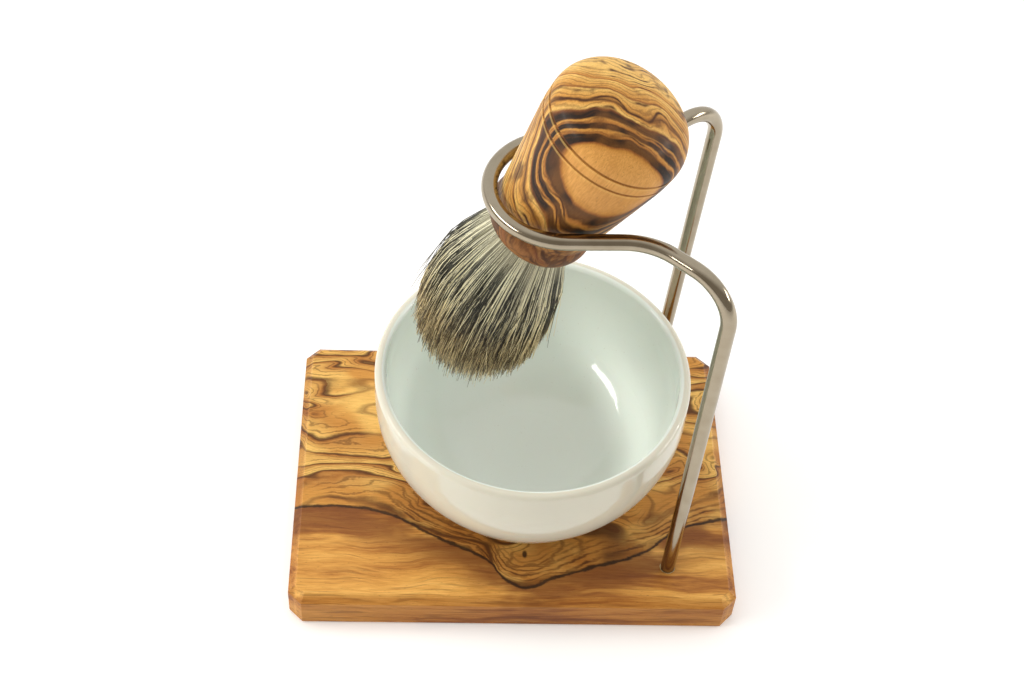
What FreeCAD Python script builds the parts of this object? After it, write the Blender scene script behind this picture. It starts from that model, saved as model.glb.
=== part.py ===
import FreeCAD, Part
import math
import os
import Sketcher

# Shaving stand: olive-wood board, bent steel rod with a ring at its end, porcelain bowl and shaving brush.
# Millimetres. Origin: middle of the board's underside. +X towards the rod's legs, +Z up, front is -Y.

SIZES = {
    # board
    "board_width": 150,
    "board_depth": 110,
    "board_thickness": 14,
    "board_corner_cut": 4.6,
    "board_top_bevel": 2.8,
    "board_bottom_bevel": 0.6,
    # rod
    "rod_diameter": 4.8,
    "leg_x": 52.2,
    "leg_y": 40.3,
    "leg_depth": 8.5,
    "arm_height": 151.8,
    "shoulder_x_front": 55,
    "shoulder_x_rear": 59,
    "shoulder_bend": 13.9,
    "arm_bend": 20.7,
    "arm_x": 33,
    "arm_y": 20.9,
    "ring_x": 8.3,
    "ring_bend": 21.5,
    "glue_gap": 0.2,
    "glue_floor": 1,
    # bowl
    "bowl_x": 4.5,
    "bowl_gap": 0.1,
    "bowl_tall": 55,
    "bowl_radius": 51.9,
    "bowl_wall": 3.6,
    "bowl_foot_radius": 30.5,
    "bowl_foot_width": 5,
    "bowl_foot_recess": 1.6,
    "bowl_flank_radius": 44.3,
    "bowl_flank_rise": 19.5,
    "bowl_flank_curve": 120,
    "bowl_side_rise": 44.3,
    "bowl_side_curve": 44.6,
    "bowl_floor": 6,
    "bowl_floor_radius": 19.1,
    "bowl_floor_rise": 1.67,
    "bowl_heel_curve": 34.7,
    # brush, in its own frame: origin where its axis crosses the ring's plane, +Z towards the dome
    "brush_x": 8.7,
    "brush_y": -0.4,
    "brush_tilt": 25.3,
    "brush_turn": -8.6,
    "handle_radius": 21.5,
    "handle_widest": 30,
    "handle_shoulder": 11.2,
    "handle_crown_rise": 3.9,
    "handle_blend": 60,
    "handle_taper_radius": 20.84,
    "handle_taper_top": 21.1,
    "collar_radius": 16.1,
    "collar_top": -10.7,
    "collar_face_radius": 14.9,
    "collar_bottom": -18.5,
    "collar_curve": 8,
    "incised_radius": 0.45,
    "incised_low": 26,
    "incised_pitch": 4,
    "socket_radius": 12.6,
    "socket_depth": 14,
    "plug_long": 6,
    "band_long": 2.4,
    "band_wall": 1,
    "hair_root_radius": 11.4,
    "hair_loft": 65.5,
    "hair_bulge": 22.4,
    "hair_droop": 18,
}

SHEET = "sizes"


class Dim:
    """A length that carries both its value and the expression that binds it to the sheet."""

    def __init__(self, value, text):
        self.value = float(value)
        self.text = text

    def _join(self, other, sign, value):
        text = other.text if isinstance(other, Dim) else repr(other)
        return Dim(value, "(" + self.text + " " + sign + " " + text + ")")

    def __add__(self, other):
        return self._join(other, "+", self.value + amount(other))

    def __sub__(self, other):
        return self._join(other, "-", self.value - amount(other))

    def __mul__(self, other):
        return self._join(other, "*", self.value * amount(other))

    def __truediv__(self, other):
        return self._join(other, "/", self.value / amount(other))

    def __neg__(self):
        return self * -1


ZERO = Dim(0, "0")


def amount(thing):
    return thing.value if isinstance(thing, Dim) else float(thing)


def dim(name):
    return Dim(SIZES[name], SHEET + "." + name)


def value(name):
    return float(SIZES[name])


def make_sheet(doc):
    sheet = doc.addObject("Spreadsheet::Sheet", SHEET)
    for row, (name, number) in enumerate(SIZES.items(), start=1):
        sheet.set("A%d" % row, name)
        sheet.set("B%d" % row, str(number))
        sheet.setAlias("B%d" % row, name)
    doc.recompute()


def bind(obj, path, length):
    """Bind one size of an object to the sheet."""
    obj.setExpression(path, length.text)


# ---------------------------------------------------------------- sketches


def new_sketch(body, name, role):
    sketch = body.newObject("Sketcher::SketchObject", name)
    plane = [feature for feature in body.Origin.OriginFeatures if feature.Role == role][0]
    sketch.AttachmentSupport = [(plane, "")]
    sketch.MapMode = "FlatFace"
    return sketch


def bind_constraint(sketch, constraint, length):
    index = sketch.addConstraint(constraint)
    bind(sketch, "Constraints[%d]" % index, length)


def pin_point(sketch, geometry, position, across, up):
    """Hold one point of a sketch at (across, up), on an axis where a coordinate is zero."""
    if across is ZERO:
        sketch.addConstraint(Sketcher.Constraint("PointOnObject", geometry, position, -2))
    else:
        constraint = Sketcher.Constraint("DistanceX", -1, 1, geometry, position, across.value)
        bind_constraint(sketch, constraint, across)
    if up is ZERO:
        sketch.addConstraint(Sketcher.Constraint("PointOnObject", geometry, position, -1))
    else:
        constraint = Sketcher.Constraint("DistanceY", -1, 1, geometry, position, up.value)
        bind_constraint(sketch, constraint, up)


def arc_between(first, last, radius, leftward):
    """Arc from first to last. leftward: its centre lies left of the way from first to last."""
    chord = last - first
    middle = (first + last) * 0.5
    rise = math.sqrt(max(radius ** 2 - (chord.Length / 2) ** 2, 0))
    left = FreeCAD.Vector(-chord.y, chord.x, 0).normalize()
    centre = middle + left * (rise if leftward else -rise)
    begin, end = (first, last) if leftward else (last, first)
    angles = [math.atan2(point.y - centre.y, point.x - centre.x) for point in (begin, end)]
    if angles[1] < angles[0]:
        angles[1] += 2 * math.pi
    circle = Part.Circle(centre, FreeCAD.Vector(0, 0, 1), radius)
    return Part.ArcOfCircle(circle, angles[0], angles[1])


def axial_radius(first, last):
    """Radius of the curve through two points, one of them on the axis, with its centre on the axis."""
    width = max(abs(first.x), abs(last.x))
    rise = abs(first.y - last.y)
    return (width ** 2 + rise ** 2) / (2 * rise)


def draw_outline(sketch, corners, arcs):
    """Closed outline through corners; arcs maps a segment's number to (radius, leftward).

    A radius of None is for a segment whose curve has its centre on the upright axis.
    """
    spots = [FreeCAD.Vector(across.value, up.value, 0) for across, up in corners]
    ends = []
    for number, spot in enumerate(spots):
        following = spots[(number + 1) % len(spots)]
        if number in arcs:
            radius, leftward = arcs[number]
            bend = radius.value if radius else axial_radius(spot, following)
            curve = arc_between(spot, following, bend, leftward)
            first, last = (1, 2) if leftward else (2, 1)
        else:
            curve = Part.LineSegment(spot, following)
            first, last = 1, 2
        geometry = sketch.addGeometry(curve, False)
        ends.append((geometry, first, last))
    for number, (geometry, first, last) in enumerate(ends):
        after = ends[(number + 1) % len(ends)]
        sketch.addConstraint(Sketcher.Constraint("Coincident", geometry, last, after[0], after[1]))
    for number, (across, up) in enumerate(corners):
        pin_point(sketch, ends[number][0], ends[number][1], across, up)
    for number, (radius, leftward) in arcs.items():
        geometry, first, last = ends[number]
        if radius is None:
            sketch.addConstraint(Sketcher.Constraint("PointOnObject", geometry, 3, -2))
            continue
        chord = (spots[(number + 1) % len(spots)] - spots[number]).Length
        if abs(chord - 2 * radius.value) < 0.001:
            # a half circle: its centre is level with its ends
            sketch.addConstraint(Sketcher.Constraint("Horizontal", geometry, 3, geometry, first))
        else:
            bind_constraint(sketch, Sketcher.Constraint("Radius", geometry, radius.value), radius)


def draw_circle(sketch, across, up, radius):
    centre = FreeCAD.Vector(across.value, up.value, 0)
    circle = Part.Circle(centre, FreeCAD.Vector(0, 0, 1), radius.value)
    geometry = sketch.addGeometry(circle, False)
    pin_point(sketch, geometry, 3, across, up)
    bind_constraint(sketch, Sketcher.Constraint("Radius", geometry, radius.value), radius)


def revolve(body, sketch, kind, name):
    feature = body.newObject(kind, name)
    feature.Profile = sketch
    feature.ReferenceAxis = (sketch, ["V_Axis"])
    feature.Angle = 360
    return feature


def edge_names(shape, wanted):
    return ["Edge%d" % (number + 1) for number, edge in enumerate(shape.Edges) if wanted(edge)]


def chamfer(doc, body, name, size, wanted):
    """Chamfer the edges of the body's last feature that pass the test."""
    doc.recompute()
    base = body.Tip
    edges = edge_names(base.Shape, wanted)
    feature = body.newObject("PartDesign::Chamfer", name)
    feature.Base = (base, edges)
    feature.Size = size.value
    bind(feature, "Size", size)
    return feature


# ---------------------------------------------------------------- board and rod


def leg_lean(side):
    """Degrees by which a leg leans towards +X, about Y. side is front or rear."""
    run = value("shoulder_x_" + side) - value("leg_x")
    rise = value("arm_height") - value("board_thickness")
    return math.degrees(math.atan2(run, rise))


def leg_sides():
    """Name of each side and the sign of its Y."""
    return (("front", -1), ("rear", 1))


def base_board(doc):
    body = doc.addObject("PartDesign::Body", "base_board")
    half_x = dim("board_width") / 2
    half_y = dim("board_depth") / 2
    top = value("board_thickness")
    plan = new_sketch(body, "board_plan", "XY_Plane")
    draw_outline(plan, [(-half_x, -half_y), (half_x, -half_y), (half_x, half_y), (-half_x, half_y)], {})
    slab = body.newObject("PartDesign::Pad", "board_slab")
    slab.Profile = plan
    bind(slab, "Length", dim("board_thickness"))

    def upright(edge):
        return abs(edge.tangentAt(edge.FirstParameter).z) > 0.99

    def at_height(level):
        return lambda edge: all(abs(vertex.Z - level) < 0.001 for vertex in edge.Vertexes)

    chamfer(doc, body, "board_corners", dim("board_corner_cut"), upright)
    chamfer(doc, body, "board_top_edge", dim("board_top_bevel"), at_height(top))
    chamfer(doc, body, "board_bottom_edge", dim("board_bottom_bevel"), at_height(0))
    for side, sign in leg_sides():
        drill_leg_hole(body, side, sign)
    return body


def drill_leg_hole(body, side, sign):
    """A blind hole in the board, drilled along its leg from just above the board."""
    above = dim("rod_diameter")
    sketch = new_sketch(body, "leg_hole_plan_" + side, "XY_Plane")
    sketch.AttachmentOffset = leg_frame(side, sign, -above.value)
    draw_circle(sketch, ZERO, ZERO, dim("rod_diameter") / 2 + dim("glue_gap"))
    hole = body.newObject("PartDesign::Pocket", "leg_hole_" + side)
    hole.Profile = sketch
    bind(hole, "Length", dim("leg_depth") + dim("glue_floor") + above)


def rounded_corner(before, corner, after, radius):
    """Arc of the given radius that rounds a corner of the path, with its two ends."""
    back = (before - corner).normalize()
    ahead = (after - corner).normalize()
    half = back.getAngle(ahead) / 2
    reach = radius / math.tan(half)
    inward = (back + ahead).normalize()
    centre = corner + inward * (radius / math.sin(half))
    start = corner + back * reach
    end = corner + ahead * reach
    return Part.Arc(start, centre - inward * radius, end), start, end


def rod_half(side, sign):
    """Edges from a leg's foot to the ring's tangent point, and that point."""
    leg_x = value("leg_x")
    thickness = value("board_thickness")
    height = value("arm_height")
    shoulder = FreeCAD.Vector(value("shoulder_x_" + side), sign * value("leg_y"), height)
    mouth = FreeCAD.Vector(leg_x, sign * value("leg_y"), thickness)
    down = (mouth - shoulder).normalize()
    foot = mouth + down * value("leg_depth")
    arm = FreeCAD.Vector(value("arm_x"), sign * value("arm_y"), height)
    # the arm's straight run touches the ring's circle
    ring = FreeCAD.Vector(value("ring_x"), 0, height)
    reach = arm - ring
    turn = math.acos(value("ring_bend") / reach.Length)
    bearing = math.atan2(reach.y, reach.x) + sign * turn
    touch = ring + FreeCAD.Vector(math.cos(bearing), math.sin(bearing), 0) * value("ring_bend")
    shoulder_arc, leg_top, splay_end = rounded_corner(foot, shoulder, arm, value("shoulder_bend"))
    arm_arc, splay_start, arm_end = rounded_corner(shoulder, arm, touch, value("arm_bend"))
    edges = [
        Part.LineSegment(foot, leg_top),
        shoulder_arc,
        Part.LineSegment(splay_end, splay_start),
        arm_arc,
        Part.LineSegment(arm_end, touch),
    ]
    return [edge.toShape() for edge in edges], foot, touch


def rod_path(doc):
    front, front_foot, front_touch = rod_half("front", -1)
    rear, rear_foot, rear_touch = rod_half("rear", 1)
    tip = FreeCAD.Vector(value("ring_x") - value("ring_bend"), 0, value("arm_height"))
    ring = Part.Arc(front_touch, tip, rear_touch).toShape()
    path = doc.addObject("Part::Feature", "rod_path")
    path.Shape = Part.Wire(Part.__sortEdges__(front + [ring] + rear))
    return path, front_foot


def stand_rod(doc):
    """The rod: a circle swept along the legs, shoulders, arms and ring."""
    path, foot = rod_path(doc)
    circle = doc.addObject("Part::Circle", "rod_section")
    bind(circle, "Radius", dim("rod_diameter") / 2)
    circle.Placement = FreeCAD.Placement(foot, FreeCAD.Rotation(FreeCAD.Vector(0, 1, 0), leg_lean("front")))
    rod = doc.addObject("Part::Sweep", "stand_rod")
    rod.Sections = [circle]
    rod.Spine = (path, ["Edge%d" % (number + 1) for number in range(len(path.Shape.Edges))])
    rod.Solid = True
    rod.Frenet = False
    return rod


def leg_frame(side, sign, depth):
    """Placement on a leg's axis, a depth below the board's top, with Z along the leg."""
    turn = FreeCAD.Rotation(FreeCAD.Vector(0, 1, 0), leg_lean(side))
    mouth = FreeCAD.Vector(value("leg_x"), sign * value("leg_y"), value("board_thickness"))
    return FreeCAD.Placement(mouth - turn.multVec(FreeCAD.Vector(0, 0, depth)), turn)


def rod_glue(doc, side, sign):
    """The glue that fills a leg's hole round and under the rod's end."""
    name = "rod_glue_" + side
    fill = doc.addObject("Part::Cylinder", name + "_fill")
    bind(fill, "Radius", dim("rod_diameter") / 2 + dim("glue_gap"))
    bind(fill, "Height", dim("leg_depth") + dim("glue_floor") - dim("glue_gap"))
    fill.Placement = leg_frame(side, sign, value("leg_depth") + value("glue_floor"))
    rod = doc.addObject("Part::Cylinder", name + "_rod")
    bind(rod, "Radius", dim("rod_diameter") / 2)
    bind(rod, "Height", dim("leg_depth"))
    rod.Placement = leg_frame(side, sign, value("leg_depth"))
    sleeve = doc.addObject("Part::Cut", name)
    sleeve.Base = fill
    sleeve.Tool = rod
    return sleeve


# ---------------------------------------------------------------- bowl


def bowl(doc):
    """Porcelain bowl, turned about its own axis: foot ring, flank, side, rounded lip, inside, floor."""
    body = doc.addObject("PartDesign::Body", "bowl")
    wall = dim("bowl_wall")
    radius = dim("bowl_radius")
    lip = wall / 2
    foot = dim("bowl_foot_radius")
    inner_foot = foot - dim("bowl_foot_width")
    recess = dim("bowl_foot_recess")
    floor_radius = dim("bowl_floor_radius")
    corners = [
        (ZERO, recess),
        (inner_foot - recess, recess),
        (inner_foot, ZERO),
        (foot, ZERO),
        (dim("bowl_flank_radius"), dim("bowl_flank_rise")),
        (radius, dim("bowl_side_rise")),
        (radius, dim("bowl_tall") - lip),
        (radius - wall, dim("bowl_tall") - lip),
        (radius - wall, dim("bowl_side_rise")),
        (dim("bowl_flank_radius") - wall * 0.816, dim("bowl_flank_rise") + wall * 0.577),
        (floor_radius, dim("bowl_floor") + dim("bowl_floor_rise")),
        (ZERO, dim("bowl_floor")),
    ]
    arcs = {
        3: (dim("bowl_flank_curve"), True),
        4: (dim("bowl_side_curve"), True),
        6: (lip, True),
        8: (dim("bowl_side_curve") - wall, False),
        9: (dim("bowl_heel_curve"), False),
        10: (None, False),
    }
    outline = new_sketch(body, "bowl_outline", "XZ_Plane")
    draw_outline(outline, corners, arcs)
    revolve(body, outline, "PartDesign::Revolution", "bowl_turned")
    doc.recompute()
    turned = body.Tip
    foot_edges = edge_names(turned.Shape, lambda edge: edge.BoundBox.ZMax < 0.001)
    eased = body.newObject("PartDesign::Fillet", "bowl_foot_eased")
    eased.Base = (turned, foot_edges)
    bind(eased, "Radius", recess * 0.5)
    body.Placement = FreeCAD.Placement(FreeCAD.Vector(0, 0, 0), FreeCAD.Rotation())
    bind(body, "Placement.Base.x", dim("bowl_x"))
    bind(body, "Placement.Base.z", dim("board_thickness") + dim("bowl_gap"))
    return body


# ---------------------------------------------------------------- brush


def brush_turn():
    """Rotation from the brush's own frame: it leans by brush_tilt towards brush_turn round Z."""
    bearing = math.radians(value("brush_turn"))
    hinge = FreeCAD.Vector(-math.sin(bearing), math.cos(bearing), 0)
    return FreeCAD.Rotation(hinge, value("brush_tilt"))


def brush_frame(along):
    """Placement at a station along the brush's axis."""
    origin = FreeCAD.Vector(value("brush_x"), value("brush_y"), value("arm_height"))
    turn = brush_turn()
    return FreeCAD.Placement(origin + turn.multVec(FreeCAD.Vector(0, 0, along)), turn)


def brush_handle(doc):
    """Turned handle: collar, straight taper, widest place, shoulder and crown, with a blind socket."""
    body = doc.addObject("PartDesign::Body", "brush_handle")
    radius = dim("handle_radius")
    widest = dim("handle_widest")
    shoulder = dim("handle_shoulder")
    # the shoulder turns through 60 degrees, where the crown, centred on the axis, takes over
    join_radius = radius - shoulder * 0.5
    join_height = widest + shoulder * 0.866
    corners = [
        (ZERO, dim("collar_bottom")),
        (dim("collar_face_radius"), dim("collar_bottom")),
        (dim("collar_radius"), dim("collar_top")),
        (dim("handle_taper_radius"), dim("handle_taper_top")),
        (radius, widest),
        (join_radius, join_height),
        (ZERO, join_height + dim("handle_crown_rise")),
    ]
    arcs = {
        1: (dim("collar_curve"), True),
        3: (dim("handle_blend"), True),
        4: (shoulder, True),
        5: (None, True),
    }
    outline = new_sketch(body, "handle_outline", "XZ_Plane")
    draw_outline(outline, corners, arcs)
    revolve(body, outline, "PartDesign::Revolution", "handle_turned")
    incised = new_sketch(body, "handle_incised_outline", "XZ_Plane")
    for step in range(2):
        draw_circle(incised, radius, dim("incised_low") + dim("incised_pitch") * step, dim("incised_radius"))
    revolve(body, incised, "PartDesign::Groove", "handle_incised")
    mouth = new_sketch(body, "socket_plan", "XY_Plane")
    mouth.AttachmentOffset = FreeCAD.Placement(FreeCAD.Vector(0, 0, value("collar_bottom")), FreeCAD.Rotation())
    bind(mouth, "AttachmentOffset.Base.z", dim("collar_bottom"))
    draw_circle(mouth, ZERO, ZERO, dim("socket_radius"))
    socket = body.newObject("PartDesign::Pocket", "socket")
    socket.Profile = mouth
    socket.Reversed = True
    bind(socket, "Length", dim("socket_depth"))
    body.Placement = brush_frame(0)
    return body


def knot_plug(doc):
    """Resin plug at the top of the socket."""
    plug = doc.addObject("Part::Cylinder", "knot_plug")
    bind(plug, "Radius", dim("socket_radius"))
    bind(plug, "Height", dim("plug_long"))
    plug.Placement = brush_frame(value("collar_bottom") + value("socket_depth") - value("plug_long"))
    return plug


def knot_band(doc):
    """Thread wound round the hair just below the plug."""
    bottom = value("collar_bottom") + value("socket_depth") - value("plug_long") - value("band_long")
    wound = doc.addObject("Part::Cylinder", "knot_band_wound")
    core = doc.addObject("Part::Cylinder", "knot_band_core")
    bind(wound, "Radius", dim("hair_root_radius") + dim("band_wall"))
    bind(core, "Radius", dim("hair_root_radius"))
    for cylinder in (wound, core):
        bind(cylinder, "Height", dim("band_long"))
        cylinder.Placement = brush_frame(bottom)
    band = doc.addObject("Part::Cut", "knot_band")
    band.Base = wound
    band.Tool = core
    return band


def hair_section(doc, number, placement, radius):
    circle = doc.addObject("Part::Circle", "hair_section_%d" % number)
    circle.Placement = placement
    bind(circle, "Radius", radius)
    return circle


def bristle_bundle(doc):
    """The hair: straight in the socket, then a bulb whose axis droops towards the vertical."""
    root = value("collar_bottom") + value("socket_depth") - value("plug_long")
    bulge = dim("hair_bulge")
    sections = [
        hair_section(doc, 0, brush_frame(root), dim("hair_root_radius")),
        hair_section(doc, 1, brush_frame((root + value("collar_bottom")) / 2), dim("hair_root_radius")),
    ]
    # share of the loft, and radius there as a share of the bulge
    bulb = [(0, 0.53), (0.14, 0.68), (0.33, 0.93), (0.52, 1.0), (0.74, 0.94), (0.9, 0.74), (1.0, 0.42)]
    # the bulb's axis turns about the same horizontal line as the brush leans about
    bearing = math.radians(value("brush_turn"))
    hinge = FreeCAD.Vector(-math.sin(bearing), math.cos(bearing), 0)
    spot = brush_frame(value("collar_bottom")).Base
    previous = 0.0
    for number, (share, width) in enumerate(bulb, start=2):
        lean = value("brush_tilt") - value("hair_droop") * (share + previous) / 2
        along = FreeCAD.Rotation(hinge, lean).multVec(FreeCAD.Vector(0, 0, -1))
        spot = spot + along * (value("hair_loft") * (share - previous))
        facing = FreeCAD.Rotation(hinge, value("brush_tilt") - value("hair_droop") * share)
        sections.append(hair_section(doc, number, FreeCAD.Placement(spot, facing), bulge * width))
        previous = share
    hair = doc.addObject("Part::Loft", "bristle_bundle")
    hair.Sections = sections
    hair.Solid = True
    hair.Ruled = False
    return hair


# ---------------------------------------------------------------- whole


def check(doc, parts):
    for obj in doc.Objects:
        if "Invalid" in obj.State or "Error" in obj.State:
            raise RuntimeError(obj.Name + " did not recompute")
    for part in parts:
        if part.Shape.isNull() or not part.Shape.isValid() or part.Shape.Volume <= 0:
            raise RuntimeError(part.Name + " has no valid shape")


def main():
    doc = FreeCAD.newDocument("shaving_stand")
    make_sheet(doc)
    parts = [base_board(doc), stand_rod(doc), bowl(doc), brush_handle(doc)]
    parts += [rod_glue(doc, side, sign) for side, sign in leg_sides()]
    parts += [knot_plug(doc), knot_band(doc), bristle_bundle(doc)]
    doc.recompute()
    check(doc, parts)
    os.makedirs("parts", exist_ok=True)
    for part in parts:
        part.Label = part.Name
        part.Shape.exportStep("parts/" + part.Label + ".step")
        box = part.Shape.BoundBox
        print("%-16s %9.1f mm3  x %.1f..%.1f  y %.1f..%.1f  z %.1f..%.1f" % (
            part.Label, part.Shape.Volume, box.XMin, box.XMax, box.YMin, box.YMax, box.ZMin, box.ZMax))


main()
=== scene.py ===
"""Shaving stand: an olive-wood board, a bent steel rod, a porcelain bowl and an olive-handled brush."""
import math
import random

import bpy
from mathutils import Matrix, Vector, noise


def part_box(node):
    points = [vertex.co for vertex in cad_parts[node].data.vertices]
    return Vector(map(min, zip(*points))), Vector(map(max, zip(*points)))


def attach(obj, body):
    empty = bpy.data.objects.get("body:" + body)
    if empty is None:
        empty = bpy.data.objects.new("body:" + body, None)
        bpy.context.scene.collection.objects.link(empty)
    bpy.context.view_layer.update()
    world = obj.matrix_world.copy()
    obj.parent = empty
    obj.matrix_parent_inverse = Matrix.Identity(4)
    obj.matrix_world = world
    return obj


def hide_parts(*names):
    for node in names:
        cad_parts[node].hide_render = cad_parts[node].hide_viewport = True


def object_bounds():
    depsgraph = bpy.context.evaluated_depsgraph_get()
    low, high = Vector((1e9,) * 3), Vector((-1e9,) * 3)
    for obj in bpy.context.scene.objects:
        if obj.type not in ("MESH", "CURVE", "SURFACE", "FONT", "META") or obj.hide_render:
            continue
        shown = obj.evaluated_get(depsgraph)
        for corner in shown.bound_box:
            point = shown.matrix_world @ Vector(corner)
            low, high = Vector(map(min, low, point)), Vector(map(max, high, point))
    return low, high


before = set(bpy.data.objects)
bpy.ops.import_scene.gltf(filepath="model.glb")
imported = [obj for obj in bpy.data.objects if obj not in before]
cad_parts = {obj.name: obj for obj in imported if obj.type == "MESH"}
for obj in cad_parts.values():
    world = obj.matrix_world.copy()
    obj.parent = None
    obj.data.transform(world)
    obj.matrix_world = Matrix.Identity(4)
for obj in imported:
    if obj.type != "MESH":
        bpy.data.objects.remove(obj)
CAD_LOW, CAD_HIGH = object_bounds()

MM = 0.001

# the brush's axis leans from the upright by BRUSH_TILT, towards BRUSH_BEARING round Z
BRUSH_TILT = math.radians(25.3)
BRUSH_BEARING = math.radians(-8.6)
SOCKET_MOUTH = 18.5 * MM      # from the ring's plane down the axis to the collar's lower rim
PLUG_ABOVE_MOUTH = 11.0 * MM  # from the collar's lower rim up the axis to the middle of the knot's plug


# ---------------------------------------------------------------- camera, light and floor


def add_camera():
    """The viewing angle: nearly straight ahead, 50 degrees above the board, a little rolled."""
    azimuth, elevation, roll = math.radians(-4.2), math.radians(49.58), math.radians(4.34)
    target = Vector((1.97, 70.24, 0)) * MM
    distance = 657.1 * MM
    level = math.cos(elevation)
    back = Vector((math.sin(azimuth) * level, -math.cos(azimuth) * level, math.sin(elevation)))
    right = (-back).cross(Vector((0, 0, 1))).normalized()
    up = right.cross(-back)
    rolled_right = math.cos(roll) * right + math.sin(roll) * up
    rolled_up = math.cos(roll) * up - math.sin(roll) * right
    data = bpy.data.cameras.new("camera")
    data.lens = 60.02
    data.sensor_width = 36
    data.clip_start = 0.05
    data.clip_end = 20
    camera = bpy.data.objects.new("camera", data)
    bpy.context.scene.collection.objects.link(camera)
    turn = Matrix((rolled_right, rolled_up, back)).transposed().to_4x4()
    camera.matrix_world = Matrix.Translation(target + distance * back) @ turn
    bpy.context.scene.camera = camera


def add_area_light(name, place, aim, size, power, colour):
    data = bpy.data.lights.new(name, "AREA")
    data.shape = "RECTANGLE"
    data.size, data.size_y = size
    data.energy = power
    data.color = colour
    light = bpy.data.objects.new(name, data)
    light.location = place
    light.rotation_euler = (Vector(aim) - Vector(place)).to_track_quat("-Z", "Y").to_euler()
    bpy.context.scene.collection.objects.link(light)
    return light


def add_studio():
    """A long low strip light on each side and a broad soft light overhead, inside a bright tent."""
    middle = (0, 0, 0.05)
    add_area_light("left_strip", (-0.85, -0.12, 0.50), middle, (0.75, 0.10), 4.2, (1.0, 0.98, 0.94))
    add_area_light("right_strip", (0.92, 0.05, 0.38), middle, (0.40, 0.09), 2.2, (1.0, 0.98, 0.95))
    sky = add_area_light("sky_panel", (-0.30, 0.10, 1.30), middle, (0.9, 0.9), 4.0, (1.0, 0.99, 0.97))
    # it lights the set, but the glaze shows no square image of it
    sky.visible_glossy = False
    add_tent()
    bpy.context.scene.view_settings.view_transform = "Standard"


def add_tent():
    """World light: bright above and behind the object, dimmer and warmer in front of it."""
    bright_way = (0.0, 0.75, 0.66)
    dim_at, dim = 0.0, (0.36, 0.33, 0.29, 1)
    bright_at, bright = 0.62, (0.98, 0.98, 0.97, 1)
    world = bpy.data.worlds.new("studio")
    world.use_nodes = True
    tree = world.node_tree
    direction = tree.nodes.new("ShaderNodeTexCoord").outputs["Generated"]
    facing = tree.nodes.new("ShaderNodeVectorMath")
    facing.operation = "DOT_PRODUCT"
    facing.inputs[1].default_value = bright_way
    tree.links.new(direction, facing.inputs[0])
    shades = tree.nodes.new("ShaderNodeValToRGB")
    for element, position, colour in zip(shades.color_ramp.elements, (dim_at, bright_at), (dim, bright)):
        element.position = position
        element.color = colour
    tree.links.new(facing.outputs["Value"], shades.inputs[0])
    tree.links.new(shades.outputs[0], tree.nodes["Background"].inputs["Color"])
    tree.nodes["Background"].inputs["Strength"].default_value = 1.0
    bpy.context.scene.world = world


def add_floor():
    """A plain white paper floor, level with the board's underside."""
    half = 9.0
    mesh = bpy.data.meshes.new("floor")
    corners = [(-half, -half, 0), (half, -half, 0), (half, half, 0), (-half, half, 0)]
    mesh.from_pydata(corners, [], [(0, 1, 2, 3)])
    floor = bpy.data.objects.new("floor", mesh)
    bpy.context.scene.collection.objects.link(floor)
    material = bpy.data.materials.new("floor_paper")
    material.use_nodes = True
    paper = material.node_tree.nodes["Principled BSDF"]
    paper.inputs["Base Color"].default_value = (0.93, 0.93, 0.93, 1)
    paper.inputs["Roughness"].default_value = 0.9
    paper.inputs["Emission Color"].default_value = (1, 1, 1, 1)
    paper.inputs["Emission Strength"].default_value = 0.14
    mesh.materials.append(material)
    floor.location.z = CAD_LOW.z


# ---------------------------------------------------------------- shader graphs


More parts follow.
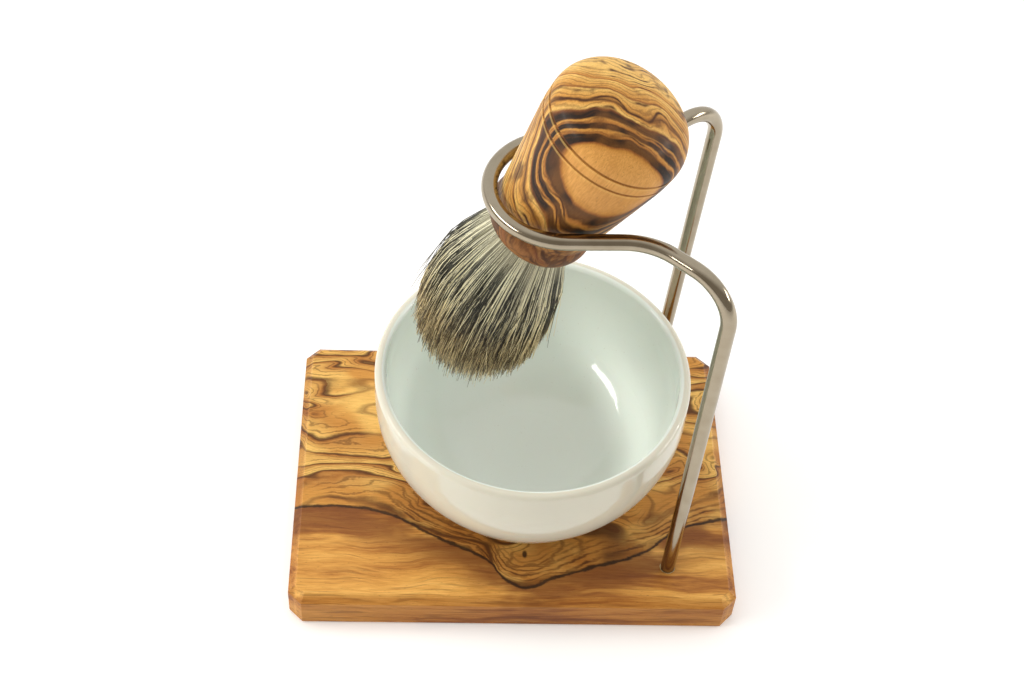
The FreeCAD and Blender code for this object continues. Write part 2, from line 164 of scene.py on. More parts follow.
class Graph:
    """Builds one material's nodes. Values are sockets or plain numbers, and lengths are in millimetres."""

    INPUTS = {
        "colour": "Base Color",
        "roughness": "Roughness",
        "metallic": "Metallic",
        "anisotropic": "Anisotropic",
        "coat": "Coat Weight",
        "coat_roughness": "Coat Roughness",
        "specular": "Specular IOR Level",
        "subsurface": "Subsurface Weight",
        "subsurface_scale": "Subsurface Scale",
    }

    def __init__(self, name):
        self.material = bpy.data.materials.new(name)
        self.material.use_nodes = True
        self.tree = self.material.node_tree
        self.shader = self.tree.nodes["Principled BSDF"]

    def node(self, kind, **settings):
        made = self.tree.nodes.new(kind)
        for key, setting in settings.items():
            setattr(made, key, setting)
        return made

    def feed(self, socket, source):
        """Link a socket, or set its own value from a number, a vector or a colour of three parts."""
        if isinstance(source, bpy.types.NodeSocket):
            self.tree.links.new(source, socket)
        elif socket.type == "RGBA":
            socket.default_value = (*source, 1)
        else:
            socket.default_value = source

    def maths(self, operation, *values, clamp=False):
        made = self.node("ShaderNodeMath", operation=operation, use_clamp=clamp)
        for socket, source in zip(made.inputs, values):
            self.feed(socket, source)
        return made.outputs[0]

    def chain(self, operation, first, others):
        for other in others:
            first = self.maths(operation, first, other)
        return first

    def plus(self, first, *others):
        return self.chain("ADD", first, others)

    def times(self, first, *others):
        return self.chain("MULTIPLY", first, others)

    def highest(self, first, *others):
        return self.chain("MAXIMUM", first, others)

    def minus(self, first, second):
        return self.maths("SUBTRACT", first, second)

    def over(self, first, second):
        return self.maths("DIVIDE", first, second)

    def away(self, value, centre):
        """How far value is from centre, either way."""
        return self.maths("ABSOLUTE", self.minus(value, centre))

    def vector(self, operation, *values):
        made = self.node("ShaderNodeVectorMath", operation=operation)
        for socket, source in zip(made.inputs, values):
            self.feed(socket, source)
        return made.outputs["Value" if operation in ("DOT_PRODUCT", "LENGTH") else "Vector"]

    def place(self):
        """The point in the object's own frame, which is the stand's frame, in millimetres."""
        made = self.node("ShaderNodeVectorMath", operation="SCALE")
        self.feed(made.inputs[0], self.node("ShaderNodeTexCoord").outputs["Object"])
        made.inputs["Scale"].default_value = 1 / MM
        return made.outputs[0]

    def split(self, vector):
        made = self.node("ShaderNodeSeparateXYZ")
        self.feed(made.inputs[0], vector)
        return made.outputs

    def join(self, x, y, z):
        made = self.node("ShaderNodeCombineXYZ")
        for socket, source in zip(made.inputs, (x, y, z)):
            self.feed(socket, source)
        return made.outputs[0]

    def noise(self, vector, size, detail=2.0, roughness=0.5, distortion=0.0, offset=None):
        """Noise whose lumps are about size millimetres, from 0 to 1. offset picks another part of it."""
        if offset:
            vector = self.vector("ADD", vector, offset)
        made = self.node("ShaderNodeTexNoise")
        self.feed(made.inputs["Vector"], vector)
        made.inputs["Scale"].default_value = 1 / size
        made.inputs["Detail"].default_value = detail
        made.inputs["Roughness"].default_value = roughness
        made.inputs["Distortion"].default_value = distortion
        return made.outputs["Fac"]

    def ramp(self, value, stops, low=0.0, high=1.0):
        """A colour for each value from low to high. stops are (value, colour), in order."""
        made = self.node("ShaderNodeValToRGB")
        band = made.color_ramp
        while len(band.elements) < len(stops):
            band.elements.new(0.5)
        for element, (at, colour) in zip(band.elements, stops):
            element.position = (at - low) / (high - low)
            element.color = (*colour, 1)
        share = self.maths("DIVIDE", self.minus(value, low), high - low, clamp=True)
        self.feed(made.inputs[0], share)
        return made.outputs["Color"]

    def step(self, value, low, high):
        """0 at low and 1 at high, smooth between. low may be above high for a falling step."""
        made = self.node("ShaderNodeMapRange", interpolation_type="SMOOTHSTEP")
        self.feed(made.inputs["Value"], value)
        made.inputs["From Min"].default_value = min(low, high)
        made.inputs["From Max"].default_value = max(low, high)
        made.inputs["To Min"].default_value = 0.0 if low < high else 1.0
        made.inputs["To Max"].default_value = 1.0 if low < high else 0.0
        return made.outputs["Result"]

    def mix(self, share, first, second, blend="MIX"):
        made = self.node("ShaderNodeMix", data_type="RGBA", blend_type=blend)
        factor, first_colour, second_colour = made.inputs["Factor"], made.inputs[6], made.inputs[7]
        self.feed(factor, share)
        self.feed(first_colour, first)
        self.feed(second_colour, second)
        return made.outputs[2]

    def stripe(self, value, pitch, width):
        """1 on thin lines every pitch of value, 0 between them."""
        phase = self.maths("FRACT", self.over(value, pitch))
        core = 0.15  # the share of the line's width that is full
        return self.step(self.away(phase, 0.5), 0.5 - width / pitch, 0.5 - core * width / pitch)

    def bump(self, height, distance, strength=1.0):
        """Relief of height from 0 to 1 over distance millimetres."""
        made = self.node("ShaderNodeBump")
        made.inputs["Strength"].default_value = strength
        made.inputs["Distance"].default_value = distance * MM
        self.feed(made.inputs["Height"], height)
        self.feed(self.shader.inputs["Normal"], made.outputs[0])

    def set(self, **values):
        for key, source in values.items():
            self.feed(self.shader.inputs[self.INPUTS[key]], source)


# ---------------------------------------------------------------- olive wood

GOLD = (0.93, 0.585, 0.165)
PALE_TAN = (0.79, 0.40, 0.105)
HONEY = (0.68, 0.330, 0.070)
TAN = (0.48, 0.195, 0.040)
CROWD_BROWN = (0.47, 0.185, 0.034)
RED_BROWN = (0.225, 0.075, 0.020)
COLLAR_RED = (0.215, 0.070, 0.019)
STREAK_BROWN = (0.20, 0.07, 0.018)
UMBER = (0.085, 0.030, 0.008)
NEAR_BLACK = (0.024, 0.012, 0.006)

# heartwood colours by the value of its band noise
HEART_BANDS = [
    (0.36, (0.31, 0.110, 0.025)),
    (0.44, (0.53, 0.225, 0.047)),
    (0.49, (0.70, 0.340, 0.076)),
    (0.55, (0.79, 0.410, 0.096)),
    (0.62, (0.90, 0.510, 0.137)),
]

# the long vein on the board's top: millimetres across and back from the board's middle. It runs from the
# left edge to a point in front of the knot, and climbs again to the right edge.
VEIN = [
    (-75, -18), (-52, -18), (-41, -21), (-29, -28), (-9, -38.5), (-1.5, -47),
    (4.5, -49.2), (12, -46), (25, -41.5), (43, -35.5), (58, -25), (75, -20),
]
VEIN_SPAN = 60              # the depth in front of the middle that the vein's curve can hold
KNOT_EYE = (3.9, -36.0, 0)  # in the same millimetres

# the handle's growth layers: millimetres towards the swirl's middle, and the colour there
SWIRL_BANDS = [
    (-9, GOLD), (-6.5, HONEY), (-5.8, TAN), (-5.4, GOLD), (-1.5, HONEY), (-0.9, RED_BROWN), (-0.4, GOLD),
    (2.2, HONEY), (3.3, UMBER), (3.9, HONEY), (5.2, GOLD), (5.9, RED_BROWN), (6.7, NEAR_BLACK),
    (8.2, NEAR_BLACK), (8.7, HONEY), (9.5, TAN), (9.9, NEAR_BLACK), (11.0, NEAR_BLACK), (11.4, HONEY),
    (12.3, TAN), (12.8, NEAR_BLACK), (15.0, NEAR_BLACK), (15.3, RED_BROWN), (15.7, TAN), (16.1, HONEY),
    (17.3, PALE_TAN),
]
SWIRL_TURN = math.radians(-85)  # where the swirl's middle faces, round the axis from the side it leans to
SWIRL_HEIGHT = 28.5             # and how far up the axis it is, from the ring's plane
INCISED_RINGS = (26, 30)        # how far up the axis the two incised rings are


def finish_wood(graph, along_grain, colour, darkness):
    """Fibres, pores and the oiled surface. along_grain has its first coordinate along the fibres."""
    stretched = graph.vector("MULTIPLY", along_grain, (0.06, 1.0, 1.0))
    less_stretched = graph.vector("MULTIPLY", along_grain, (0.16, 1.0, 1.0))
    fibre = graph.noise(stretched, 0.35, detail=3, roughness=0.6)
    pore = graph.step(graph.noise(less_stretched, 0.28, detail=1), 0.66, 0.76)
    shaded = graph.mix(1.0, colour, (0.80, 0.74, 0.66), "MULTIPLY")
    fibred = graph.mix(graph.step(fibre, 0.3, 0.75), shaded, colour)
    pored = graph.mix(graph.times(pore, 0.45), fibred, UMBER)
    roughness = graph.plus(0.40, graph.times(graph.noise(stretched, 1.1), 0.18))
    graph.set(colour=pored, coat=0.05, coat_roughness=0.2, specular=0.20, roughness=roughness)
    relief = graph.minus(fibre, graph.plus(graph.times(pore, 0.8), graph.times(darkness, 0.3)))
    graph.bump(relief, 0.035, 0.6)


def vein_dip(graph, x):
    """How far the long vein runs in front of the board's middle, at x."""
    half_width = VEIN[-1][0]
    curve = graph.node("ShaderNodeFloatCurve")
    line = curve.mapping.curves[0]
    for number, (across, back) in enumerate(VEIN):
        spot = ((across + half_width) / (2 * half_width), -back / VEIN_SPAN)
        # a new curve starts with two points
        if number < 2:
            line.points[number].location = spot
        else:
            line.points.new(*spot)
    curve.mapping.update()
    graph.feed(curve.inputs["Value"], graph.over(graph.plus(x, half_width), 2 * half_width))
    return graph.times(curve.outputs[0], VEIN_SPAN)


def sapwood(graph, solid, wander, fine, x, behind, nested):
    """Golden rings, each darkening to a sharp edge. They crowd at the vein and close into loops behind it.

    Gives the colour, and how dark its lines are.
    """
    looseness = graph.plus(20, graph.times(graph.step(behind, 4, 24), 34))
    loops = graph.plus(graph.times(wander, looseness), graph.times(nested, 0.75), graph.times(fine, 1.7))
    pitch = 8.5
    ring = graph.maths("FRACT", graph.over(loops, pitch))
    blotch = graph.step(graph.noise(solid, 17, detail=2, offset=(31, 7, 0)), 0.44, 0.60)
    patchy = graph.step(graph.noise(solid, 17, detail=1, offset=(3, 50, 9)), 0.42, 0.58)
    colour = graph.mix(blotch, GOLD, HONEY)
    colour = graph.mix(graph.times(graph.maths("POWER", ring, 2.2), graph.plus(0.35, patchy)), colour, TAN)
    edges = graph.times(graph.stripe(loops, pitch, 1.5), graph.plus(0.5, graph.times(patchy, 0.5)))
    echoes = graph.stripe(graph.plus(loops, graph.times(fine, 1.2)), pitch / 4, 0.42)
    # close behind the vein the lines crowd together, except at its calm left end
    crowd = graph.times(graph.step(behind, 19, 2), graph.step(x, -56, -34))
    uneven = graph.step(graph.noise(solid, 6, detail=3, offset=(12, 80, 5)), 0.36, 0.58)
    tight = graph.stripe(graph.plus(behind, graph.times(wander, 16)), 2.3, 0.72)
    tight = graph.times(tight, graph.plus(0.45, graph.times(uneven, 0.55)), crowd)
    browned = graph.times(crowd, graph.plus(0.4, graph.times(uneven, 0.5)))
    colour = graph.mix(browned, colour, CROWD_BROWN)
    lines = graph.highest(edges, graph.times(echoes, patchy, 0.6), tight)
    return graph.mix(graph.times(lines, 0.88), colour, UMBER), lines


def heartwood(graph, wander, x, y, depth, behind):
    """Broad soft bands along the plank, reddest next to the vein, with fine dark streaks."""
    swayed = graph.plus(y, graph.times(wander, 8))
    band = graph.noise(graph.join(graph.times(x, 0.09), swayed, depth), 9, detail=6, roughness=0.66)
    colour = graph.ramp(band, HEART_BANDS, 0.2, 0.8)
    near_vein = graph.step(graph.plus(behind, graph.times(wander, 14)), -18, -5)
    uneven = graph.noise(graph.join(graph.times(x, 0.35), graph.plus(y, 40), depth), 9, detail=3)
    redness = graph.times(near_vein, graph.step(uneven, 0.30, 0.52), 0.8)
    colour = graph.mix(redness, colour, RED_BROWN)
    streak = graph.noise(graph.join(graph.times(x, 0.05), swayed, depth), 1.1, detail=2)
    return graph.mix(graph.times(graph.step(streak, 0.52, 0.70), 0.42), colour, STREAK_BROWN)


def shade_board_edges(graph, colour, x, y, corner):
    """Painted shade: the sawn edges and bevels are darker than the top."""
    inner, outer = 3.0, 1.5  # the painted shade's reach in from the board's sides
    past_side = graph.step(graph.maths("ABSOLUTE", x), corner.x - inner, corner.x - outer)
    past_face = graph.step(graph.maths("ABSOLUTE", y), corner.y - inner, corner.y - outer)
    edge_shade_colour = graph.mix(1.0, colour, (0.62, 0.47, 0.36), "MULTIPLY")
    return graph.mix(graph.times(graph.highest(past_side, past_face), 0.75), colour, edge_shade_colour)


def board_wood():
    """A plank sawn through a knot: looping sapwood behind one long vein, darker heartwood in front."""
    graph = Graph("olive_board")
    # x is across and y is back, from the board's middle
    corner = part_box("base_board")[1] / MM
    x, true_y, z = graph.split(graph.place())
    depth = graph.minus(z, corner.z)
    # the figure runs down through the plank at a slant, so that it carries on over the edges
    y = graph.plus(true_y, graph.times(depth, 0.5))
    solid = graph.join(graph.times(x, 0.48), y, graph.times(depth, 0.8))
    wander = graph.minus(graph.noise(solid, 17, detail=1.6, roughness=0.45, distortion=0.6), 0.5)
    fine = graph.minus(graph.noise(solid, 2.6, detail=3, roughness=0.6), 0.5)

    dip = vein_dip(graph, x)
    behind = graph.plus(y, dip, graph.times(fine, 2.2))
    # the dip levels out further behind the vein, so the lines near the vein nest into it
    far_dip = 24.0
    closeness = graph.step(behind, 30, 0)
    nested = graph.plus(y, graph.times(graph.minus(dip, far_dip), closeness), far_dip)

    sap, lines = sapwood(graph, solid, wander, fine, x, behind, nested)
    heart = heartwood(graph, wander, x, y, depth, behind)
    colour = graph.mix(graph.step(behind, -0.4, 0.4), heart, sap)
    vein_line = graph.step(graph.away(behind, 0.1), 1.0, 0.25)
    colour = graph.mix(graph.times(vein_line, 0.9), colour, NEAR_BLACK)
    # the knot's eye, behind the vein's point
    from_eye = graph.vector("SUBTRACT", graph.join(x, y, 0.0), KNOT_EYE)
    eye = graph.step(graph.vector("LENGTH", graph.vector("MULTIPLY", from_eye, (1.0, 0.55, 1))), 1.1, 0.5)
    colour = graph.mix(graph.times(eye, 0.9), colour, NEAR_BLACK)
    # the board's sides and bevels darkened as painted shade
    colour = shade_board_edges(graph, colour, x, true_y, corner)
    finish_wood(graph, graph.join(x, y, depth), colour, graph.highest(vein_line, lines))
    return graph.material


def brush_axes():
    """The brush's axis up the handle, and two directions square to it: level, and towards the lean."""
    lean_x = math.sin(BRUSH_TILT) * math.cos(BRUSH_BEARING)
    lean_y = math.sin(BRUSH_TILT) * math.sin(BRUSH_BEARING)
    axis = Vector((lean_x, lean_y, math.cos(BRUSH_TILT)))
    level = Vector((-math.sin(BRUSH_BEARING), math.cos(BRUSH_BEARING), 0))
    return axis, level, level.cross(axis)


def brush_middle():
    """The point where the brush's axis crosses the ring's plane, from the middle of the knot's plug."""
    low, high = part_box("knot_plug")
    axis = brush_axes()[0]
    return (low + high) / 2 - axis * (PLUG_ABOVE_MOUTH - SOCKET_MOUTH)


def swirl_layer(graph, height, out, wander, fine):
    """Millimetres towards the swirl's middle: blunt cones of growth, which the turning cuts into ovals."""
    roundness, steepness = 9, 0.50
    above = graph.minus(height, SWIRL_HEIGHT)
    reach = graph.maths("SQRT", graph.plus(graph.times(above, above), roundness ** 2))
    layer = graph.minus(out, graph.times(graph.minus(reach, roundness), steepness))
    # the bands wander outside the oval, and the oval itself stays calm
    restless = graph.step(layer, 19, 12)
    shift = graph.times(wander, graph.plus(1.8, graph.times(restless, 6.5)))
    return graph.plus(layer, shift, graph.times(fine, 0.7))


def handle_wood():
    """Turned across a swirl: one golden oval ringed by black and brown bands, streaks elsewhere."""
    graph = Graph("olive_handle")
    axis, level, lean = brush_axes()
    outward = math.cos(SWIRL_TURN) * lean + math.sin(SWIRL_TURN) * level
    point = graph.vector("SUBTRACT", graph.place(), tuple(brush_middle() / MM))
    ways = (axis, outward, axis.cross(outward))
    height, out, side = [graph.vector("DOT_PRODUCT", point, tuple(way)) for way in ways]
    local = graph.join(graph.times(height, 0.5), out, side)
    wander = graph.minus(graph.noise(local, 12, detail=1.3, roughness=0.4), 0.5)
    fine = graph.minus(graph.noise(local, 2.6, detail=2), 0.5)
    layer = swirl_layer(graph, height, out, wander, fine)

    # dark lines outside the oval: a few bold ones that come and go, and thin ones between
    outside = graph.step(layer, 15.5, 13)
    spread = graph.plus(layer, graph.times(wander, 5))
    strength = graph.step(graph.noise(local, 7, detail=2, offset=(70, 4, 3)), 0.40, 0.62)
    bold = graph.times(graph.stripe(spread, 2.9, 0.62), strength)
    thin = graph.times(graph.stripe(graph.plus(spread, fine), 1.45, 0.34), 0.42)
    lines = graph.times(graph.highest(bold, thin), outside)

    # the layers' own colours, with a burnt-looking smudge here and there and mellow patches
    smudge = graph.step(graph.noise(local, 6.5, detail=3, offset=(20, 41, 8)), 0.55, 0.70)
    slow = graph.step(graph.noise(local, 9, detail=2, offset=(9, 4, 30)), 0.46, 0.64)
    bands = graph.ramp(layer, SWIRL_BANDS, -10, 24)
    bands = graph.mix(graph.times(smudge, outside, 0.75), bands, UMBER)
    mellow = graph.mix(graph.times(slow, 0.3), bands, TAN)
    colour = graph.mix(graph.highest(graph.step(layer, 17.2, 15.9), 0.7), bands, mellow)

    # the collar below the ring is redder, with a tight dark figure
    collar = graph.step(height, -5, -11)
    figure = graph.step(graph.noise(local, 5, detail=3, distortion=1.2, offset=(5, 60, 14)), 0.50, 0.56)
    colour = graph.mix(graph.times(collar, 0.85), colour, COLLAR_RED)
    colour = graph.mix(graph.times(collar, figure, 0.8), colour, UMBER)
    colour = graph.mix(lines, colour, UMBER)

    # painted shade in the two incised rings, and a painted highlight on the lip below each
    for ring in INCISED_RINGS:
        groove_shade = graph.step(graph.away(height, ring), 0.55, 0.2)
        lip_highlight = graph.step(graph.away(height, ring - 0.8), 0.55, 0.15)
        colour = graph.mix(graph.times(lip_highlight, 0.35), colour, GOLD)
        colour = graph.mix(graph.times(groove_shade, 0.6), colour, RED_BROWN)
    finish_wood(graph, graph.join(height, out, side), colour, lines)
    return graph.material


# ---------------------------------------------------------------- steel, porcelain and the rest


def rod_steel():
    """Polished stainless rod: fine draw marks and a few soft smears."""
    graph = Graph("stainless_rod")
    spot = graph.place()
    smear = graph.noise(spot, 6, detail=3)
    scratch = graph.noise(graph.vector("MULTIPLY", spot, (1, 1, 0.08)), 0.22, detail=2)
    # darkened and warmed colour: a painted reflection of the wood and dim surroundings
    colour = graph.mix(smear, (0.31, 0.255, 0.180), (0.43, 0.375, 0.285))
    roughness = graph.plus(0.07, graph.plus(graph.times(smear, 0.08), graph.times(scratch, 0.08)))
    graph.set(metallic=1.0, anisotropic=0.25, colour=colour, roughness=roughness)
    graph.bump(scratch, 0.004, 0.5)
    return graph.material


def porcelain():
    """Glaze, faintly green inside and creamier outside, with a bare ring where the foot was wiped."""
    graph = Graph("glazed_porcelain")
    spot = graph.place()
    low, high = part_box("bowl")
    foot = low.z / MM
    z = graph.split(spot)[2]
    cloud = graph.noise(spot, 22, detail=2)
    glaze = graph.mix(cloud, (0.83, 0.90, 0.83), (0.86, 0.92, 0.85))
    # millimetres from the bowl's middle, positive on faces that look outward and negative inside
    from_middle = graph.vector("SUBTRACT", spot, tuple((low + high) / 2 / MM))
    normal = graph.node("ShaderNodeNewGeometry").outputs["True Normal"]
    facing = graph.vector("DOT_PRODUCT", from_middle, normal)
    # the outside is creamier, and also darker as painted shade
    glaze = graph.mix(graph.step(facing, 0, 20), glaze, (0.70, 0.675, 0.555))
    # painted shade: darker and greyer at the bottom of the inside
    inner_bottom_shade = graph.times(graph.step(z, foot + 20, foot + 7), graph.step(facing, 0, -12))
    glaze = graph.mix(graph.times(inner_bottom_shade, 0.75), glaze, (0.68, 0.695, 0.63))
    speck = graph.step(graph.noise(spot, 0.6, detail=0), 0.80, 0.84)
    glaze = graph.mix(graph.times(speck, 0.25), glaze, (0.55, 0.50, 0.42))
    bare = graph.step(z, foot + 0.9, foot + 0.5)
    colour = graph.mix(bare, glaze, (0.72, 0.66, 0.56))
    roughness = graph.plus(graph.times(bare, 0.6), graph.plus(0.06, graph.times(cloud, 0.05)))
    graph.set(colour=colour, specular=0.55, subsurface=0.06, subsurface_scale=2 * MM, roughness=roughness)
    graph.bump(graph.noise(spot, 7, detail=2), 0.05, 0.35)
    return graph.material


def resin():
    """Cloudy set resin, for the knot's plug and the glue round the rod's ends."""
    graph = Graph("set_resin")
    cloud = graph.noise(graph.place(), 1.5, detail=3)
    colour = graph.mix(cloud, (0.62, 0.50, 0.26), (0.82, 0.72, 0.46))
    graph.set(colour=colour, roughness=graph.plus(0.15, graph.times(cloud, 0.2)))
    graph.bump(cloud, 0.05)
    return graph.material


def thread():
    """Waxed thread wound round the knot, in turns half a millimetre apart."""
    graph = Graph("waxed_thread")
    along = graph.vector("DOT_PRODUCT", graph.place(), tuple(brush_axes()[0]))
    wound = graph.stripe(along, 0.5, 0.4)
    # darker in the gaps between the turns: painted shade
    graph.set(colour=graph.mix(wound, (0.35, 0.31, 0.24), (0.82, 0.78, 0.68)), roughness=0.7)
    graph.bump(wound, 0.15)
    return graph.material


# colours from a hair's root to its tip
DARK_HAIR = [
    (0.0, (0.62, 0.59, 0.40)),
    (0.16, (0.34, 0.32, 0.21)),
    (0.34, (0.060, 0.060, 0.042)),
    (0.70, (0.040, 0.036, 0.022)),
    (0.88, (0.080, 0.058, 0.026)),
    (1.0, (0.17, 0.115, 0.048)),
]
PALE_HAIR = [
    (0.0, (0.95, 0.93, 0.72)),
    (0.3, (0.92, 0.88, 0.63)),
    (0.7, (0.88, 0.79, 0.50)),
    (1.0, (0.82, 0.64, 0.32)),
]


def hair_material():
    """Each hair carries its own tone, and its place along the hair from root to tip."""
    graph = Graph("badger_hair")
    along = graph.node("ShaderNodeAttribute", attribute_name="along").outputs["Fac"]
    tone = graph.node("ShaderNodeAttribute", attribute_name="tone").outputs["Fac"]
    paleness = graph.step(tone, 0.50, 0.70)
    colour = graph.mix(paleness, graph.ramp(along, DARK_HAIR), graph.ramp(along, PALE_HAIR))
    graph.set(colour=colour, roughness=0.42, specular=0.45)
    return graph.material


def dress(node, material):
    """Give a CAD node its finish."""
    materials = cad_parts[node].data.materials
    materials.clear()
    materials.append(material)


# ---------------------------------------------------------------- hair

HAIR_SEED = 29
HAIR_COUNT = 2600    # in each of the three pieces of separate hairs
HAIR_LENGTH = 65.5 * MM
HAIR_DROOP = math.radians(20)
BULGE = 20.6 * MM    # the bundle's greatest radius
ROOT_SHARE = -0.04   # where a hair's steps are counted from, though none lies above the socket's mouth
SPINE_STATIONS = 24
HAIR_STEPS = 8       # straight runs along one hair
HAIRS_IN_CLUMP = 14
CLUMPS_TRIED = 24    # how many clumps compete for one hair
WIDEST_GAP = 0.16    # radians, the most that a hair turns towards its clump
STRAY_SHARE = 0.022  # of all hairs

# the heart's radius, as shares of the bulge, at shares of the hair's length
OUTLINE = [(0, 0.555), (0.14, 0.73), (0.33, 0.96), (0.52, 1.0), (0.74, 0.94), (0.9, 0.74), (1.0, 0.42)]
# how far a hair's place has spread, in the same shares: past the bulge the hairs run on straight
FAN = [(0, 0.555), (0.14, 0.74), (0.33, 0.95), (0.52, 1.0), (0.75, 1.02)]
# where a hair ends, by its share of the bundle's radius, so that all tips make a dome
DOME = [(0.0, 1.03), (0.42, 1.0), (0.74, 0.90), (0.93, 0.76), (1.0, 0.60)]


def between(points, at):
    """Straight-line reading of a list of (at, value), which keeps its last value past its end."""
    for (first, low), (second, high) in zip(points, points[1:]):
        if at <= second:
            return low + (high - low) * (at - first) / (second - first)
    return points[-1][1]


def hair_spine():
    """Points and cross directions down the hair's drooping middle, from the collar's lower rim."""
    axis, level, _ = brush_axes()
    spot = brush_middle() - axis * SOCKET_MOUTH
    spine = []
    for number in range(SPINE_STATIONS + 3):
        turn = Matrix.Rotation(BRUSH_TILT - HAIR_DROOP * (number / SPINE_STATIONS), 3, level)
        down = turn @ Vector((0, 0, -1))
        across = turn @ Vector((1, 0, 0))
        across = (across - across.dot(down) * down - across.dot(level) * level).normalized()
        spine.append((spot.copy(), across, level.copy()))
        spot = spot + down * (HAIR_LENGTH / SPINE_STATIONS)
    return spine


def spine_point(spine, share, sideways=0.0, forward=0.0):
    """The point at a share of the hair's length, set off from its middle in the two cross directions.

    A share below 0 stays at the spine's start, the socket's mouth.
    """
    place = max(0.0, min(share * SPINE_STATIONS, len(spine) - 1.001))
    number = int(place)
    part = place - number
    first, second = spine[number], spine[number + 1]
    middle = first[0].lerp(second[0], part)
    across = first[1].lerp(second[1], part)
    return middle + across * sideways + first[2] * forward


def strand_ring(spine, share, sideways, forward, radius):
    """Three corners round one point of a hair."""
    middle = spine_point(spine, share, sideways, forward)
    outward = (middle - spine_point(spine, share)).normalized()
    near = 0.04
    down = (spine_point(spine, share + near) - spine_point(spine, share - near)).normalized()
    square = outward.cross(down).normalized()
    turns = [2 * math.pi * third / 3 for third in range(3)]
    return [middle + (math.cos(turn) * outward + math.sin(turn) * square) * radius for turn in turns]


def strand_faces(first_corner):
    """The sides of one hair, which is a three-sided tube, and its two ends."""
    faces = []
    for number in range(HAIR_STEPS):
        low = first_corner + 3 * number
        for third in range(3):
            after = (third + 1) % 3
            faces.append((low + third, low + after, low + 3 + after, low + 3 + third))
    last = first_corner + 3 * HAIR_STEPS
    faces.append((first_corner + 2, first_corner + 1, first_corner))
    faces.append((last, last + 1, last + 2))
    return faces


def scatter(draw, radial_low, radial_high):
    """A random place in the bundle: its share of the radius, and its turn round the middle."""
    radial = math.sqrt(draw.uniform(radial_low ** 2, radial_high ** 2))
    return radial, draw.uniform(0, 2 * math.pi)


def nearest_clump(clumps, radial, angle):
    """The clump that is nearest to a hair. A clump is its share of the radius, its turn and its tone."""
    return min(clumps, key=lambda clump: (clump[0] - radial) ** 2 * 9 + (1 - math.cos(clump[1] - angle)))


def hair_piece(name, radial_low, radial_high, seed):
    """Many tapering three-sided hairs in one mesh, in clumps that draw together towards their tips."""
    draw = random.Random(seed)
    spine = hair_spine()
    clumps = []
    for _ in range(HAIR_COUNT // HAIRS_IN_CLUMP):
        clumps.append((*scatter(draw, radial_low, radial_high), draw.uniform(-0.22, 0.22)))
    corners, faces, along, tone = [], [], [], []
    for _ in range(HAIR_COUNT):
        radial, angle = scatter(draw, radial_low, radial_high)
        _, clump_angle, clump_tone = nearest_clump(draw.sample(clumps, CLUMPS_TRIED), radial, angle)
        pull = draw.uniform(0.15, 0.75)
        gap = (clump_angle - angle + math.pi) % (2 * math.pi) - math.pi
        gap = max(-WIDEST_GAP, min(WIDEST_GAP, gap))
        stop = between(DOME, radial) * (1 + draw.gauss(-0.015, 0.032))
        root_radius = draw.uniform(0.10, 0.20) * MM
        curl = draw.gauss(0, 0.07)
        flare = draw.gauss(0, 0.03)
        widest = 1.03
        # a stray stands out further and curls more
        if draw.random() < STRAY_SHARE:
            flare += draw.uniform(0.04, 0.14)
            curl *= 3
            widest = 1.15
        shade = min(1.0, max(0.0, draw.betavariate(0.5, 0.6) + clump_tone))
        faces += strand_faces(len(corners))
        for number in range(HAIR_STEPS + 1):
            part = number / HAIR_STEPS
            share = ROOT_SHARE + (stop - ROOT_SHARE) * part
            width = between(FAN, max(share, 0)) * BULGE * min(widest, radial + flare * part * part)
            bent = angle + gap * pull * part ** 1.5 + curl * part * part
            radius = root_radius * (1.0 - 0.6 * part ** 4)
            corners += strand_ring(spine, share, math.cos(bent) * width, math.sin(bent) * width, radius)
            along += [part] * 3
            tone += [shade] * 3
    return add_piece(name, corners, faces, along, tone)


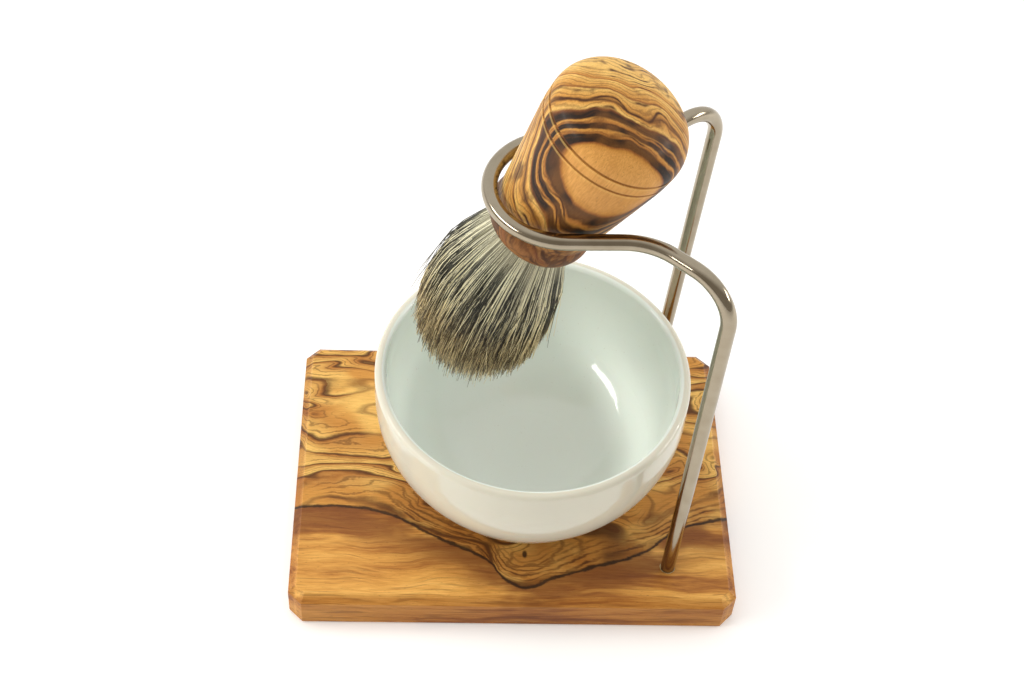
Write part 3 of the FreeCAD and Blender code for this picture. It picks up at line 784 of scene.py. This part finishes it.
def hair_heart(name):
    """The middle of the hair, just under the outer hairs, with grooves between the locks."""
    spine = hair_spine()
    around, rows = 180, 44
    corners, faces, along, tone = [], [], [], []
    for row in range(rows + 1):
        part = row / rows
        share = ROOT_SHARE + (1 - ROOT_SHARE) * part
        for column in range(around):
            angle = 2 * math.pi * column / around
            across, forward = math.cos(angle), math.sin(angle)
            lock = noise.noise(Vector((across * 9, forward * 9, share * 1.5)))
            width = between(OUTLINE, max(share, 0)) * BULGE * (0.90 + 0.04 * lock)
            corners.append(spine_point(spine, share * 0.97, across * width, forward * width))
            along.append(part)
            tone.append(0.10 + 0.5 * noise.noise(Vector((across * 21, forward * 21, share * 2))))
    for row in range(rows):
        low, high = row * around, (row + 1) * around
        for column in range(around):
            after = (column + 1) % around
            faces.append((low + after, low + column, high + column, high + after))
    faces.append(tuple(range(around)))
    faces.append(tuple(reversed(range(rows * around, (rows + 1) * around))))
    return add_piece(name, corners, faces, along, tone)


def add_piece(name, corners, faces, along, tone):
    """A smooth mesh whose points carry the two values that hair_material reads."""
    mesh = bpy.data.meshes.new(name)
    mesh.from_pydata(corners, [], faces)
    for key, values in (("along", along), ("tone", tone)):
        mesh.attributes.new(key, "FLOAT", "POINT").data.foreach_set("value", values)
    mesh.shade_smooth()
    piece = bpy.data.objects.new(name, mesh)
    bpy.context.scene.collection.objects.link(piece)
    return piece


def add_hair():
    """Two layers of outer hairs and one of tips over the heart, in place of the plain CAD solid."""
    material = hair_material()
    pieces = [
        hair_heart("hair_heart"),
        hair_piece("hair_outer_1", 0.90, 1.0, HAIR_SEED),
        hair_piece("hair_outer_2", 0.90, 1.0, HAIR_SEED + 1),
        hair_piece("hair_tips", 0.0, 0.95, HAIR_SEED + 7),
    ]
    for piece in pieces:
        piece.data.materials.append(material)
        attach(piece, "brush")
        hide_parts("bristle_bundle")


# ---------------------------------------------------------------- whole

add_camera()
add_studio()
add_floor()
glue = resin()
dress("base_board", board_wood())
dress("stand_rod", rod_steel())
dress("rod_glue_front", glue)
dress("rod_glue_rear", glue)
dress("bowl", porcelain())
dress("brush_handle", handle_wood())
dress("knot_plug", glue)
dress("knot_band", thread())
add_hair()
